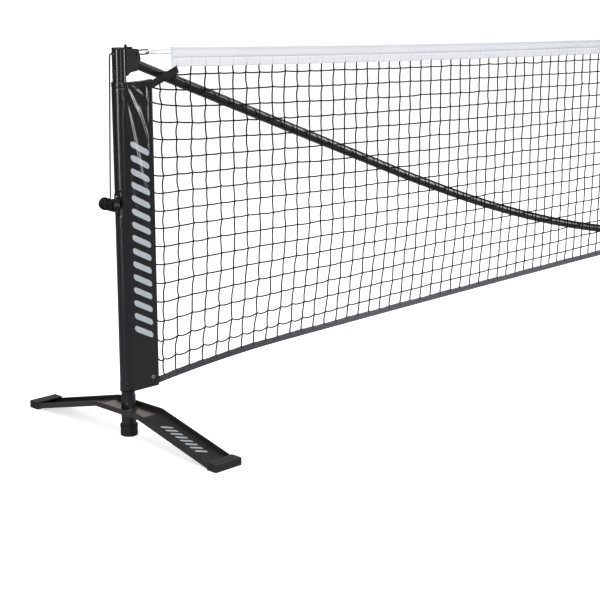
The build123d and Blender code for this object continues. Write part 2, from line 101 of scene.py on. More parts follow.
class Finish:
    """One material: its Principled shader and the nodes that feed it."""

    def __init__(self, name, colour, roughness, **sockets):
        self.material = bpy.data.materials.new(name)
        self.material.use_nodes = True
        self.tree = self.material.node_tree
        self.shader = self.tree.nodes["Principled BSDF"]
        self.feed(**{"Base Color": colour, "Roughness": roughness, **sockets})

    def node(self, kind, settings, inputs, output=0):
        made = self.tree.nodes.new("ShaderNode" + kind)
        for key, value in settings.items():
            setattr(made, key, value)
        for key, value in inputs.items():
            self.join(made.inputs[key], value)
        return Wire(self, made.outputs[output])

    def join(self, socket, value):
        if isinstance(value, Wire):
            self.tree.links.new(value.socket, socket)
        elif isinstance(value, tuple) and len(value) == 3 and socket.type == "RGBA":
            socket.default_value = (*value, 1.0)
        else:
            socket.default_value = value

    def feed(self, **sockets):
        for key, value in sockets.items():
            self.join(self.shader.inputs[key], value)

    def place(self):
        """The point on the surface, in metres, as three wires and the vector itself."""
        point = self.node("TexCoord", {}, {}, 3)
        split = self.node("SeparateXYZ", {}, {0: point})
        outputs = split.socket.node.outputs
        return [Wire(self, outputs[i]) for i in range(3)] + [point]

    def noise(self, point, scale, detail=2.0, roughness=0.5):
        inputs = {"Vector": point, "Scale": scale, "Detail": detail, "Roughness": roughness}
        return self.node("TexNoise", {}, inputs)

    def mix(self, share, first, second):
        return self.node("Mix", {"data_type": "RGBA"}, {0: share, 6: first, 7: second}, 2)

    def bump(self, height, distance, strength=1.0):
        inputs = {"Strength": strength, "Distance": distance, "Height": height}
        self.feed(Normal=self.node("Bump", {}, inputs))


def studio_floor():
    """Pale to the camera, and dimmer in the things that mirror it."""
    finish = Finish("studio_floor", (0.9, 0.9, 0.9), 0.9)
    grain = finish.noise(finish.place()[3], 60.0, 3.0)
    pale = finish.mix(grain, (0.90, 0.90, 0.905), (0.93, 0.93, 0.93))
    finish.feed(**{"Base Color": pale, "Specular IOR Level": 0.1})
    finish.feed(**{"Emission Color": (1.0, 1.0, 1.0), "Emission Strength": 0.62})
    dim = finish.node("BsdfDiffuse", {}, {"Color": (0.34, 0.34, 0.35)})
    seen = finish.node("LightPath", {}, {}, 0)
    both = finish.node("MixShader", {}, {0: seen, 1: dim})
    finish.tree.links.new(finish.shader.outputs[0], both.socket.node.inputs[2])
    finish.tree.links.new(both.socket, finish.tree.nodes["Material Output"].inputs[0])
    corners = [(-40, -40), (40, -40), (40, 40), (-40, 40)]
    floor = bpy.data.meshes.new("floor")
    floor.from_pydata([(x, y, -0.0005) for x, y in corners], [], [(0, 1, 2, 3)])
    floor.materials.append(finish.material)
    placed = bpy.data.objects.new("floor", floor)
    bpy.context.scene.collection.objects.link(placed)


def surround():
    """White to the camera, and a dim grey to everything that reflects it."""
    world = bpy.data.worlds.new("surround")
    world.use_nodes = True
    tree = world.node_tree
    dim = tree.nodes["Background"]
    dim.inputs["Color"].default_value = (0.93, 0.95, 1.0, 1.0)
    dim.inputs["Strength"].default_value = 0.12
    white = tree.nodes.new("ShaderNodeBackground")
    white.inputs["Color"].default_value = (1.0, 1.0, 1.0, 1.0)
    white.inputs["Strength"].default_value = 1.05
    path = tree.nodes.new("ShaderNodeLightPath")
    choose = tree.nodes.new("ShaderNodeMixShader")
    tree.links.new(path.outputs["Is Camera Ray"], choose.inputs[0])
    tree.links.new(dim.outputs[0], choose.inputs[1])
    tree.links.new(white.outputs[0], choose.inputs[2])
    tree.links.new(choose.outputs[0], tree.nodes["World Output"].inputs[0])
    bpy.context.scene.world = world


def soft_light(name, place, target, width, height, watts, spread=180, colour=(1.0, 1.0, 1.0)):
    data = bpy.data.lights.new(name, "AREA")
    data.shape = "RECTANGLE"
    data.size, data.size_y = width, height
    data.energy = watts
    data.color = colour
    data.spread = radians(spread)
    light = bpy.data.objects.new(name, data)
    light.location = place
    light.rotation_euler = (Vector(target) - Vector(place)).to_track_quat("-Z", "Y").to_euler()
    light.visible_camera = False
    bpy.context.scene.collection.objects.link(light)


studio_floor()
surround()
soft_light("outer_strip", (-5.85, -0.75, 1.15), (-HALF, 0, 0.6), 0.7, 2.0, 6.0, 60)
soft_light("court_strip", (0.4, -1.75, 1.2), (-HALF, 0, 0.6), 1.3, 2.0, 7.0, 60)
soft_light("front_strip", (-3.75, -3.3, 1.3), (-HALF, 0, 0.7), 0.35, 1.8, 1.6, 60)
soft_light("back_panel", (-0.9, 3.2, 1.35), (-HALF, 0, 0.1), 3.4, 1.3, 13,
           colour=(1.0, 0.93, 0.87))
soft_light("overhead", (-0.8, 0.4, 3.4), (-0.8, 0, 0), 8.0, 1.6, 68)
sky = bpy.data.lights.new("sky", "SUN")
sky.energy = 2.3
sky.angle = radians(45)
sky_light = bpy.data.objects.new("sky", sky)
sky_light.rotation_euler = Euler((radians(42), radians(-12), 0))
bpy.context.scene.collection.objects.link(sky_light)
bpy.context.scene.view_settings.view_transform = "Standard"

lens = bpy.data.cameras.new("camera")
lens.sensor_width = 36.0
lens.lens = 84.8
camera = bpy.data.objects.new("camera", lens)
camera.location = (-5.3712, -2.5551, 1.0721)
camera.rotation_euler = Euler((radians(90 - 12.93), 0, radians(-45.52)))
bpy.context.scene.collection.objects.link(camera)
bpy.context.scene.camera = camera

# ---- bases --------------------------------------------------------------------------------------
# Each base is one strip of pressed steel with turned-up lips, powder-coated satin black, with a
# welded stub tube, push-on moulded end caps, a rubber foot and a generic printed row of bars.
ENDS = (("left", -1), ("right", 1))


def dress(finish, *names):
    """Gives CAD pieces their finish. A name with * stands for the left and the right one."""
    for name in names:
        for one in (name.replace("*", "left"), name.replace("*", "right")):
            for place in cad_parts[one].material_slots:
                place.material = finish.material


def powder_coat(name, colour, gloss):
    """Sprayed powder: a fine orange peel, a few duller scuffs."""
    finish = Finish(name, colour, gloss)
    x, y, z, point = finish.place()
    scuffs = finish.noise(point, 38.0, 4.0, 0.65)
    peel = finish.noise(point, 1400.0, 2.0)
    finish.feed(Roughness=gloss - 0.05 + scuffs * 0.14)
    finish.feed(**{"Coat Weight": 0.25, "Coat Roughness": 0.22})
    finish.bump(peel, 0.00012, 0.35)
    return finish, (x, y, z, point, scuffs)


def bars(along, across, start, end, half_width, period, slant, thick):
    """Where a row of slanted round-ended bars is printed. along and across are in metres."""
    slid = along - start + across * slant
    off = abs((slid / period).fraction() - 0.5) * period
    past = (abs(across) - half_width + thick * 0.5).at_least(0.0)
    from_core = (off * off + past * past).root()
    reach = (end - start) / 2
    return from_core.below(thick * 0.5, 0.0005) * abs(slid - reach).below(reach, 0.0005)


def base_finish():
    finish, (x, y, _, _, scuffs) = powder_coat("base_powder_coat", (0.016, 0.0145, 0.0135), 0.3)
    across = abs(x) - HALF
    upward = finish.node("NewGeometry", {}, {}, 1)
    normal = finish.node("SeparateXYZ", {}, {0: upward}, 2)
    row = bars(0 - y, across, 0.132, 0.268, 0.0125, 0.0170, 0.6, 0.0080)
    row = row * (1 - normal.below(0.6, 0.05))
    wear_and_sheen = row * (0.72 + scuffs * 0.4)
    finish.feed(**{"Base Color": finish.mix(wear_and_sheen, (0.016, 0.0145, 0.0135), (0.42, 0.45, 0.47))})
    return finish


def moulding(name, colour, gloss):
    """Moulded plastic with a fine spark-eroded grain."""
    finish = Finish(name, colour, gloss)
    point = finish.place()[3]
    grain = finish.noise(point, 900.0, 3.0, 0.6)
    patches = finish.noise(point, 45.0, 2.0)
    finish.feed(**{"Specular IOR Level": 0.35})
    finish.feed(Roughness=gloss + patches * 0.12)
    finish.bump(grain, 0.00018, 0.6)
    return finish


dress(base_finish(), "base_channel_*")
stub_coat, _ = powder_coat("stub_powder_coat", (0.0105, 0.011, 0.012), 0.26)
dress(stub_coat, "base_stub_*")
dress(moulding("cap_plastic", (0.016, 0.0165, 0.017), 0.5), "base_cap_front_*", "base_cap_back_*")
dress(moulding("foot_rubber", (0.015, 0.015, 0.0155), 0.62), "base_foot_*", "foot_pads")


def make(name, corners, faces, body, finish):
    """A mesh piece that rides on a body."""
    data = bpy.data.meshes.new(name)
    data.from_pydata([tuple(c) for c in np.asarray(corners).reshape(-1, 3)], [], faces)
    outward = bmesh.new()
    outward.from_mesh(data)
    bmesh.ops.recalc_face_normals(outward, faces=outward.faces)
    outward.to_mesh(data)
    outward.free()
    data.materials.append(finish.material)
    data.polygons.foreach_set("use_smooth", [True] * len(data.polygons))
    piece = bpy.data.objects.new(name, data)
    bpy.context.scene.collection.objects.link(piece)
    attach(piece, body)
    return piece


def ring_faces(rings, sides, closed=False):
    """Quads between rings of corners that follow each other."""
    faces = []
    for i in range(rings if closed else rings - 1):
        a, b = i * sides, (i + 1) % rings * sides
        for j in range(sides):
            k = (j + 1) % sides
            faces.append((a + j, a + k, b + k, b + j))
    return faces


def weld_bead(name, centre, radius, body, finish):
    """A weld round a tube: overlapping scallops, laid one after another."""
    turns, sides = 96, 8
    rings = []
    for i in range(turns):
        a = 2 * pi * i / turns
        size = 0.0021 + 0.0004 * abs(sin(a * 13))
        out = np.array([cos(a), sin(a), 0.0])
        ring = [centre + out * (radius + size * cos(b)) + np.array([0, 0, size * sin(b)])
                for b in np.linspace(0, 2 * pi, sides, endpoint=False)]
        rings.append(ring)
    faces = ring_faces(turns, sides, closed=True)
    return make(name, rings, faces, body, finish)


for end, side in ENDS:
    foot = np.array([side * HALF, 0, 0.0652])
    weld_bead("stub_weld_" + end, foot, 0.0181, "end_" + end, stub_coat)

# ---- posts --------------------------------------------------------------------------------------
# Round steel posts in glossy black powder coat, with a plastic plug in the top, a riveted socket
# block for the bow, a sprung button that locks the foot of the post in its base, and a cleat.
post_coat, _ = powder_coat("post_powder_coat", (0.006, 0.0062, 0.007), 0.17)
dress(post_coat, "post_*")
dress(moulding("plug_plastic", (0.008, 0.008, 0.009), 0.42), "post_cap_*", "rod_cap")
dress(moulding("socket_plastic", (0.006, 0.0062, 0.007), 0.55), "bow_bracket_*")
dress(moulding("cleat_plastic", (0.012, 0.0122, 0.013), 0.3), "cleat_*")


def plated_steel():
    """Zinc-plated steel, brushed by handling."""
    finish = Finish("plated_steel", (0.58, 0.59, 0.61), 0.3, Metallic=1.0)
    point = finish.place()[3]
    marks = finish.noise(point, 500.0, 4.0, 0.7)
    finish.feed(**{"Base Color": finish.mix(marks, (0.5, 0.51, 0.54), (0.72, 0.72, 0.73))})
    finish.feed(Roughness=0.22 + marks * 0.2)
    finish.bump(marks, 0.0001, 0.3)
    return finish


steel = plated_steel()
dress(steel, "cleat_screws_*", "sleeve_grommet_*")
blackened, _ = powder_coat("blackened_steel", (0.02, 0.02, 0.021), 0.34)
dress(blackened, "base_button_*", "bracket_rivets_*")

# ---- tension lines ------------------------------------------------------------------------------
# A thin braided line comes out of a hole near the top of each post, runs down taut to the cleat,
# and is made fast there with figure-of-eight turns round both horns.
def braid(name, dark, light, roughness):
    """Braided cord: two sets of strands that cross at a slant."""
    finish = Finish(name, dark, roughness)
    x, y, z, point = finish.place()
    one = ((x + y * 0.7 + z) * 2600.0).sine()
    two = ((x + y * 0.7 - z) * 2600.0).sine()
    strands = one.at_least(two)
    fluff = finish.noise(point, 2500.0, 2.0)
    finish.feed(**{"Base Color": finish.mix(strands * 0.5 + 0.5, dark, light)})
    finish.feed(**{"Specular IOR Level": 0.2})
    finish.bump(strands + fluff * 0.6, 0.00035, 0.8)
    return finish


black_braid = braid("black_braid", (0.005, 0.005, 0.006), (0.014, 0.014, 0.016), 0.6)
white_braid = braid("white_braid", (0.62, 0.61, 0.58), (0.86, 0.85, 0.82), 0.6)
CLEAT = np.array([-0.038875, 0.0, 0.561])   # the middle of the cleat's bar, from the post's axis


def at_end(side, points):
    """Points given from the left post's axis, placed at one end of the net."""
    placed = np.array(points, float).reshape(-1, 3)
    return placed * (-side, 1, 1) + (side * HALF, 0, 0)


def line(name, points, diameter, finish, body):
    """A cord: one smooth spline with a round section."""
    data = bpy.data.curves.new(name, "CURVE")
    data.dimensions = "3D"
    data.bevel_depth = diameter / 2
    data.bevel_resolution = 4
    data.resolution_u = 10
    data.use_fill_caps = True
    spline = data.splines.new("NURBS")
    spline.points.add(len(points) - 1)
    for knot, place in zip(spline.points, points):
        knot.co = (*place, 1.0)
    spline.order_u = 3
    spline.use_endpoint_u = True
    data.materials.append(finish.material)
    piece = bpy.data.objects.new(name, data)
    bpy.context.scene.collection.objects.link(piece)
    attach(piece, body)
    return piece


# Turns so far, how far out along the bar, and how far from the bar's axis, in metres.
WINDING = (
    (0.0, 0.0084, 0.0096), (3.0, 0.0192, 0.0104), (3.5, 0.0215, 0.0136), (4.0, 0.0185, 0.0139),
    (5.25, 0.0096, 0.0136), (5.5, 0.0, 0.0105), (5.75, -0.0088, 0.0098), (6.0, -0.0086, 0.0096),
    (9.0, -0.0192, 0.0104), (9.5, -0.0215, 0.0136), (10.0, -0.0185, 0.0139),
    (11.25, -0.0096, 0.0136), (11.5, 0.0, 0.0142), (11.68, 0.0050, 0.0138),
)


def tension_route():
    """From the hole near the top of the post to the cleat, and round both of its horns."""
    route = [(-0.014375, 0.006, 0.9012), (-0.020875, 0.006, 0.9012), (-0.021875, 0.006, 0.8872)]
    route += [(-0.0290, 0.0080, 0.600)]
    turns, beside, out = np.array(WINDING).T
    for t in np.arange(0, WINDING[-1][0], 1 / 14):
        y, r = np.interp(t, turns, beside), np.interp(t, turns, out)
        route.append((CLEAT[0] + r * cos(2 * pi * t), y, CLEAT[2] - r * sin(2 * pi * t)))
    return route


for end, side in ENDS:
    route = at_end(side, tension_route())
    rope = line("tension_line_" + end, route, 0.0034, black_braid, "end_" + end)
    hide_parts("tension_cord_" + end, "cleat_wrap_" + end)

# ---- bow, centre foot and rod -------------------------------------------------------------------
# Six sprung steel tubes plug into each other, into a hub over the centre foot and into the posts.
# The foot is bent plate in grey, and a rod stands in the hub to carry the middle of the tape.
bow_coat, _ = powder_coat("bow_powder_coat", (0.0075, 0.0075, 0.0080), 0.2)
dress(bow_coat, "bow_lower_*", "bow_middle_*", "bow_upper_*", "centre_hub", "centre_rod")


def grey_plate():
    """Grey powder coat, a little mottled."""
    finish, (_, _, _, point, _) = powder_coat("grey_powder_coat", (0.30, 0.31, 0.32), 0.36)
    edges = finish.noise(point, 140.0, 4.0, 0.7)
    finish.feed(**{"Base Color": finish.mix(edges, (0.25, 0.26, 0.27), (0.37, 0.38, 0.39))})
    return finish


dress(grey_plate(), "centre_foot")

# ---- mesh ---------------------------------------------------------------------------------------
# Black knotted twine: a square mesh of 44 mm, tied at every crossing, hung from the tape and
# sewn to the sleeves and to the bottom band. The lowest rows are slack and lean outwards.
PITCH = 0.04438
COLUMN = 3.1954                  # the middle of the net to the first column under the tape
ROWS = 17
TWINE = 0.0040
NET_Y = -0.0175
TAPE_END = 3.211
TAPE_HIGH, TAPE_LOW = 0.912, 0.864
TAPE_DEEP = 0.046
TAPE_BEND = (TAPE_END ** 2 + (TAPE_HIGH - TAPE_LOW) ** 2) / (2 * (TAPE_HIGH - TAPE_LOW))


def tape_top(x):
    return TAPE_LOW + TAPE_BEND - np.sqrt(TAPE_BEND ** 2 - np.square(x))


def band_middle(x):
    """Height of the bottom band: level across the court, dropping to the sleeves."""
    x = np.abs(x)
    middle, bend, fall = 0.174, 2.853, 0.023     # height at the middle, and where it bends down
    end_run, end_fall = 0.4197, 0.027            # from the bend to the sleeve
    big = (bend ** 2 + fall ** 2) / (2 * fall)
    inner = middle - big + np.sqrt(big ** 2 - np.square(np.minimum(x, bend)))
    past = np.maximum(x - bend, 0)
    slope = bend / sqrt(big ** 2 - bend ** 2)
    drop = (end_fall - slope * end_run) / end_run ** 2
    return inner - past * slope - drop * past ** 2


def twine():
    finish = Finish("black_twine", (0.007, 0.007, 0.008), 0.6)
    finish.feed(**{"Specular IOR Level": 0.15})
    x, y, z, _ = finish.place()
    lay = ((x + z + y) * 4200.0).sine()
    shade = finish.mix(lay * 0.5 + 0.5, (0.004, 0.004, 0.005), (0.011, 0.011, 0.012))
    finish.feed(**{"Base Color": shade})
    finish.bump(lay, 0.0002, 0.7)
    return finish


def smooth(value, low, high):
    t = np.clip((value - low) / (high - low), 0, 1)
    return t * t * (3 - 2 * t)


# How far the lowest knots lean towards the nearer post, in pitches, by distance from it. And how
# far the upper rows are pulled up where they are sewn to the sleeve.
LEAN_AT = (0.08, 0.113, 0.157, 0.3, 0.6, 1.1, 1.65, 2.6, 3.2, 3.353)
LEAN = (0.0, 0.3, 0.5, 0.55, 0.72, 0.7, 0.2, 0.1, 0.04, 0.0)
LIFT = np.zeros(ROWS + 2)
LIFT[2:9] = (0.0085, 0.0120, 0.0100, 0.0065, 0.0028, 0.0018, 0.0010)


def knot_places(seed):
    """Where the knots of half the net lie: distance in from the post, and height."""
    noise = np.random.default_rng(seed)
    columns = np.arange(-1, 73)
    u = HALF - COLUMN + PITCH * columns
    rows = np.arange(ROWS + 2)
    uu, rr = np.meshgrid(u, rows, indexing="ij")
    near = np.exp(-(uu - 0.15) / 0.6)
    share = np.clip((rr - 0.54) / (17.4 + 0.15 * near), 0, None)
    share[:, 0], share[:, -1] = -0.008, 1.0
    share = share - 0.028 * near * np.sin(pi * np.clip(share, 0, 1))
    x = HALF - uu
    top, low = tape_top(np.minimum(x, TAPE_END)) - TAPE_DEEP, band_middle(x)
    height = top - share * (top - low)
    height[0, 0] = 0.850
    lean = PITCH * np.interp(uu, LEAN_AT, LEAN)
    slack = np.clip((share - 0.62) / 0.38, 0, 1) ** 1.2
    height -= 0.006 * slack * (share < 1) * (1 - smooth(uu, 0.4, 0.9))
    pull = np.interp(uu, (0.08, 0.115, 0.158, 0.203, 0.25), (1.0, 0.8, 0.35, 0.1, 0.0))
    height += LIFT[None, :] * pull
    drawn_in = np.interp(uu, (0.113, 0.158, 0.203, 0.29), (0.0055, 0.0036, 0.0018, 0.0))
    uu = uu - drawn_in * (rr > 0) * (rr <= ROWS)
    uu = uu - lean * slack
    free = np.ones_like(uu)
    free[:, 0] = free[:, -1] = 0
    free[-1] = 0
    uu = uu + noise.normal(0, 0.0009, uu.shape) * free
    uu = uu + 0.0012 * np.where((rr + np.round(uu / PITCH)) % 2, 1, -1) * free
    height = height + noise.normal(0, 0.0007, uu.shape) * free
    edge = np.exp(-(uu - 0.08) / 0.035)
    height = height - 0.003 * edge * free
    return uu, height, noise


def strands(paths, radius, sides):
    """Round cords along many paths of equal count that lie in the net's plane."""
    along = np.gradient(paths, axis=1)
    along /= np.linalg.norm(along, axis=2, keepdims=True)
    out = np.stack([-along[..., 2], 0 * along[..., 0], along[..., 0]], -1)
    angle = np.linspace(0, 2 * pi, sides, endpoint=False)
    ring = out[:, :, None] * np.cos(angle)[:, None] * radius
    ring[..., 1] += np.sin(angle) * radius
    corners = (paths[:, :, None] + ring).reshape(-1, 3)
    count = paths.shape[1]
    i, j = np.meshgrid(np.arange(count - 1), np.arange(sides), indexing="ij")
    k = (j + 1) % sides
    quad = np.stack([i * sides + j, i * sides + k, (i + 1) * sides + k, (i + 1) * sides + j], -1)
    first = np.arange(len(paths))[:, None, None] * count * sides
    faces = (quad.reshape(1, -1, 4) + first).reshape(-1, 4).tolist()
    for i in range(len(paths)):
        near, far = i * count * sides, ((i + 1) * count - 1) * sides
        faces += [list(range(near, near + sides))[::-1], list(range(far, far + sides))]
    return corners, faces


def knots(centres, noise):
    """Small hitches: each is a short thick loop round the crossing, set at a slant."""
    around, sides = 8, 4
    a = np.linspace(0, 2 * pi, around, endpoint=False)
    b = np.linspace(0, 2 * pi, sides, endpoint=False)
    tilt = radians(45) + noise.normal(0, 0.25, len(centres))
    long_way = np.stack([np.cos(tilt), 0 * tilt, np.sin(tilt)], -1)
    short_way = np.stack([-np.sin(tilt), 0 * tilt, np.cos(tilt)], -1)
    front = np.array([0.0, 1.0, 0.0])
    core = (long_way[:, None] * (0.0020 * np.cos(a))[:, None]
            + front * (0.0017 * np.sin(a))[:, None]
            + short_way[:, None] * (0.0008 * np.sin(2 * a))[:, None])
    outward = core / np.linalg.norm(core, axis=2, keepdims=True)
    tube = (core[:, :, None] + outward[:, :, None] * (0.00105 * np.cos(b))[:, None]
            + short_way[:, None, None] * (0.0013 * np.sin(b))[:, None])
    corners = (centres[:, None, None] + tube).reshape(-1, 3)
    i, j = np.meshgrid(np.arange(around), np.arange(sides), indexing="ij")
    k, n = (j + 1) % sides, (i + 1) % around
    quad = np.stack([i * sides + j, i * sides + k, n * sides + k, n * sides + j], -1)
    first = np.arange(len(centres))[:, None, None] * around * sides
    return corners, (quad.reshape(1, -1, 4) + first).reshape(-1, 4).tolist()


def bowed(start, end, bulge, steps, upright):
    """Points from each start towards its end, bowed sideways by bulge."""
    t = np.linspace(0, 1, steps, endpoint=False)[:, None]
    points = start[:, :, None] + (end - start)[:, :, None] * t
    shift = bulge[..., None] * np.sin(pi * t[:, 0])
    points[..., 0 if upright else 1] += shift
    return points


def net_half(side, seed):
    u, height, noise = knot_places(seed)
    grid = np.stack([u, height], -1)
    start, end = grid[:, :-1], grid[:, 1:]
    bulge = 0.0011 + noise.normal(0, 0.0009, start.shape[:2])
    bulge += 0.0022 * np.exp(-(start[..., 0] - 0.1) / 0.25)
    points = bowed(start, end, -bulge, 4, True)
    upright = points.reshape(len(grid), -1, 2)
    upright = np.concatenate([upright, grid[:, -1:]], 1)
    if side > 0:
        upright = upright[:-1]
    rows = grid[:, 1:-1].transpose(1, 0, 2)
    edge = rows[:, :1].copy()
    edge[:, :, 0] = 0.0808
    edge[:, :, 1] += 0.0035
    edge[1:6, :, 1] += 0.25 * LIFT[2:7, None]
    edge[0, :, 0] = 0.110
    rows = np.concatenate([edge, rows], 1)
    sag = 0.0006 + np.abs(noise.normal(0, 0.0005, rows.shape[:2]))[:, :-1]
    low = smooth(np.arange(ROWS)[:, None], 12.5, 16)
    sag += 0.0042 * low * (1 - smooth(rows[:, :-1, 0], 0.35, 0.9))
    points = bowed(rows[:, :-1], rows[:, 1:], -sag, 3, False)
    level = points.reshape(ROWS, -1, 2)
    level = np.concatenate([level, rows[:, -1:]], 1)

    def solid(flat):
        x = side * (HALF - flat[..., 0])
        return np.stack([x, np.full_like(x, NET_Y), flat[..., 1]], -1)

    parts = [strands(solid(upright), TWINE / 2, 5), strands(solid(level), TWINE / 2, 5)]
    crossings = solid(grid[:-1 if side > 0 else None, 1:-1].reshape(-1, 2))
    keep = ~((np.abs(crossings[:, 0]) > 3.232) & (crossings[:, 2] > 0.842))
    parts.append(knots(crossings[keep], noise))
    corners, faces, first = [], [], 0
    for c, f in parts:
        corners.append(c)
        faces += [[v + first for v in face] for face in f]
        first += len(c)
    return np.concatenate(corners), faces


twine_finish = twine()
for end, side in ENDS:
    corners, faces = net_half(side, 11 + side)
    half = make("net_cords_" + end, corners, faces, "net_and_middle", twine_finish)
    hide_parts("mesh")

# ---- tape ---------------------------------------------------------------------------------------
# White vinyl-coated fabric folded over the head cord and stitched once along its middle. The net's
# upright cords run up inside it as far as the seam and press through the vinyl.
SEAM = 0.0252                    # the seam, down from the top of the tape
white = Finish("white_vinyl", (0.74, 0.75, 0.79), 0.42)


def tape_finish(finish):
    x, _, z, point = finish.place()
    down = 0 - (z - TAPE_LOW - x * x * (0.5 / TAPE_BEND))
    column = abs((x / PITCH + 0.5).fraction() - 0.5) * PITCH
    inside = down.below(TAPE_DEEP - 0.001, 0.002) * (1 - down.below(SEAM, 0.001))
    ghost = column.below(0.0016, 0.0022) * inside
    groove = abs(down - SEAM).below(0.0007, 0.0006)
    edge = abs(down - 0.0024).below(0.0005, 0.0006)
    cloud = finish.noise(point, 9.0, 3.0)
    weave = ((x * 5200.0).sine() + (z * 5200.0).sine()) * 0.25
    clean = finish.mix(cloud, (0.74, 0.75, 0.80), (0.80, 0.81, 0.84))
    shade = ghost * 0.26 + groove * 0.3 + edge * 0.35
    finish.feed(**{"Base Color": finish.mix(shade, clean, (0.30, 0.31, 0.34))})
    finish.feed(Roughness=0.36 + cloud * 0.16)
    finish.bump(weave - groove * 2.0 + ghost * 1.5, 0.0003, 0.6)


tape_finish(white)


def folded(name, xs, profile, wall, rise, ripple, body, finish):
    """A strip folded lengthwise: an open U of sheet, wall thick, carried along the net."""
    outer = np.array(profile, float)
    along = np.gradient(outer, axis=0)
    along /= np.linalg.norm(along, axis=1, keepdims=True)
    inner = outer + np.stack([along[:, 1], -along[:, 0]], -1) * wall
    loop = np.concatenate([outer, inner[::-1]])
    rings = np.zeros((len(xs), len(loop), 3))
    rings[..., 0] = xs[:, None]
    rings[..., 1] = NET_Y + loop[:, 0]
    rings[..., 2] = rise(xs)[:, None] + loop[:, 1]
    rings[..., 1] += ripple(xs[:, None], loop[:, 1])
    faces = ring_faces(len(xs), len(loop))
    count = len(outer)
    for first, turn in ((0, 1), ((len(xs) - 1) * len(loop), -1)):
        for i in range(count - 1):
            a, b = first + i, first + 2 * count - 1 - i
            faces.append((a, b, b - 1, a + 1)[::turn])
    return make(name, rings, faces, body, finish)


def tape_profile():
    """Front hem, seam, head cord in the fold, and the back the same way down."""
    half = [(-0.0019, -TAPE_DEEP), (-0.0020, -0.0445), (-0.0019, -0.038), (-0.0019, -0.031)]
    half += [(-0.0018, -0.0265), (-0.0014, -SEAM - 0.0003), (-0.0014, -SEAM + 0.0003)]
    half += [(-0.0018, -0.0239), (-0.0020, -0.018), (-0.0020, -0.011), (-0.0017, -0.0062)]
    half += [(-0.0022, -0.0048), (-0.0026, -0.0026), (-0.0019, -0.0008)]
    return half + [(0.0, 0.0)] + [(-y, z) for y, z in half[::-1]]


def tape_ripple(x, down):
    """The sheet puckers between the columns, most along its lower hem."""
    slack = np.clip(-down / TAPE_DEEP, 0, 1)
    return 0.00035 * slack * np.sin(2 * pi * x / PITCH) + 0.0005 * slack * np.sin(x * 19.0 + 1.0)


tape_steps = np.linspace(-TAPE_END, TAPE_END, 581)
tape = folded("tape_fold", tape_steps, tape_profile(), 0.0006, tape_top, tape_ripple,
              "net_and_middle", white)
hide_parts("tape")


def stitches(name, path, thread, length, body, finish, outward):
    """Short round-ended stitches at each point of a path, along its own direction."""
    path = np.asarray(path, float)
    along = np.gradient(path, axis=0)
    along /= np.linalg.norm(along, axis=1, keepdims=True)
    outward = np.array(outward, float)
    beside = np.cross(along, outward)
    angle = np.linspace(0, 2 * pi, 6, endpoint=False)
    rings = []
    stations = ((-0.5, 0.35, -0.6), (-0.35, 1.0, 0.0), (0.35, 1.0, 0.0), (0.5, 0.35, -0.6))
    for share, size, sink in stations:
        middle = path + along * (share * length) + outward * (sink * thread)
        ring = (beside[:, None] * np.cos(angle)[:, None] + outward * np.sin(angle)[:, None])
        rings.append(middle[:, None] + ring * (size * thread))
    corners = np.stack(rings, 1).reshape(-1, 3)
    one = ring_faces(4, 6) + [tuple(range(5, -1, -1)), tuple(range(18, 24))]
    faces = [tuple(v + first * 24 for v in face) for first in range(len(path)) for face in one]
    return make(name, corners, faces, body, finish)


thread = Finish("white_thread", (0.66, 0.67, 0.69), 0.6)
fluff = thread.noise(thread.place()[3], 3000.0, 2.0)
thread.feed(**{"Base Color": thread.mix(fluff, (0.55, 0.56, 0.58), (0.80, 0.80, 0.80))})
thread.bump(fluff, 0.0002, 0.6)
seam_x = np.arange(-TAPE_END + 0.004, TAPE_END - 0.003, 0.0049)
seam_line = np.stack([seam_x, np.full_like(seam_x, NET_Y - 0.0017), tape_top(seam_x) - SEAM], -1)
seam_line[:, 1] += tape_ripple(seam_x, -SEAM)
tape_seam = stitches("tape_seam", seam_line, 0.00032, 0.0032, "net_and_middle", thread,
                     (0, -1, 0))

# ---- loops that hold the tape -------------------------------------------------------------------
# A black cord loop comes out of each socket block. The white end of the tape's head cord is
# looped through it, and both ends go back into the fold of the tape.
for end, side in ENDS:
    loop = at_end(side, [(0.0523, -0.0095, 0.9065), (0.068, -0.0095, 0.9072),
                         (0.0795, -0.0095, 0.9066), (0.0795, -0.0095, 0.8978),
                         (0.068, -0.0095, 0.8970), (0.0523, -0.0095, 0.8975)])
    piece = line("socket_loop_" + end, loop, 0.003, black_braid, "net_and_middle")
    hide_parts("cord_loop_" + end)
    head = at_end(side, [(0.1417, -0.0178, 0.9055), (0.0900, -0.0156, 0.9052),
                         (0.0718, -0.0143, 0.9046), (0.0718, -0.0050, 0.8996),
                         (0.0900, -0.0084, 0.8984), (0.1417, -0.0172, 0.8965)])
    piece = line("head_cord_" + end, head, 0.003, white_braid, "net_and_middle")
    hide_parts("headline_end_" + end)

# ---- bottom band --------------------------------------------------------------------------------
# Grosgrain ribbon folded over the lowest cords and stitched down the middle. Its upper half leans
# back a little, so it takes the light from above.
ribbon = Finish("black_ribbon", (0.02, 0.021, 0.023), 0.5)
rx, _, _, rpoint = ribbon.place()
ribs = (rx * 5600.0).sine()
column = abs((rx / PITCH + 0.5).fraction() - 0.5) * PITCH
tick = column.below(0.0016, 0.0016)
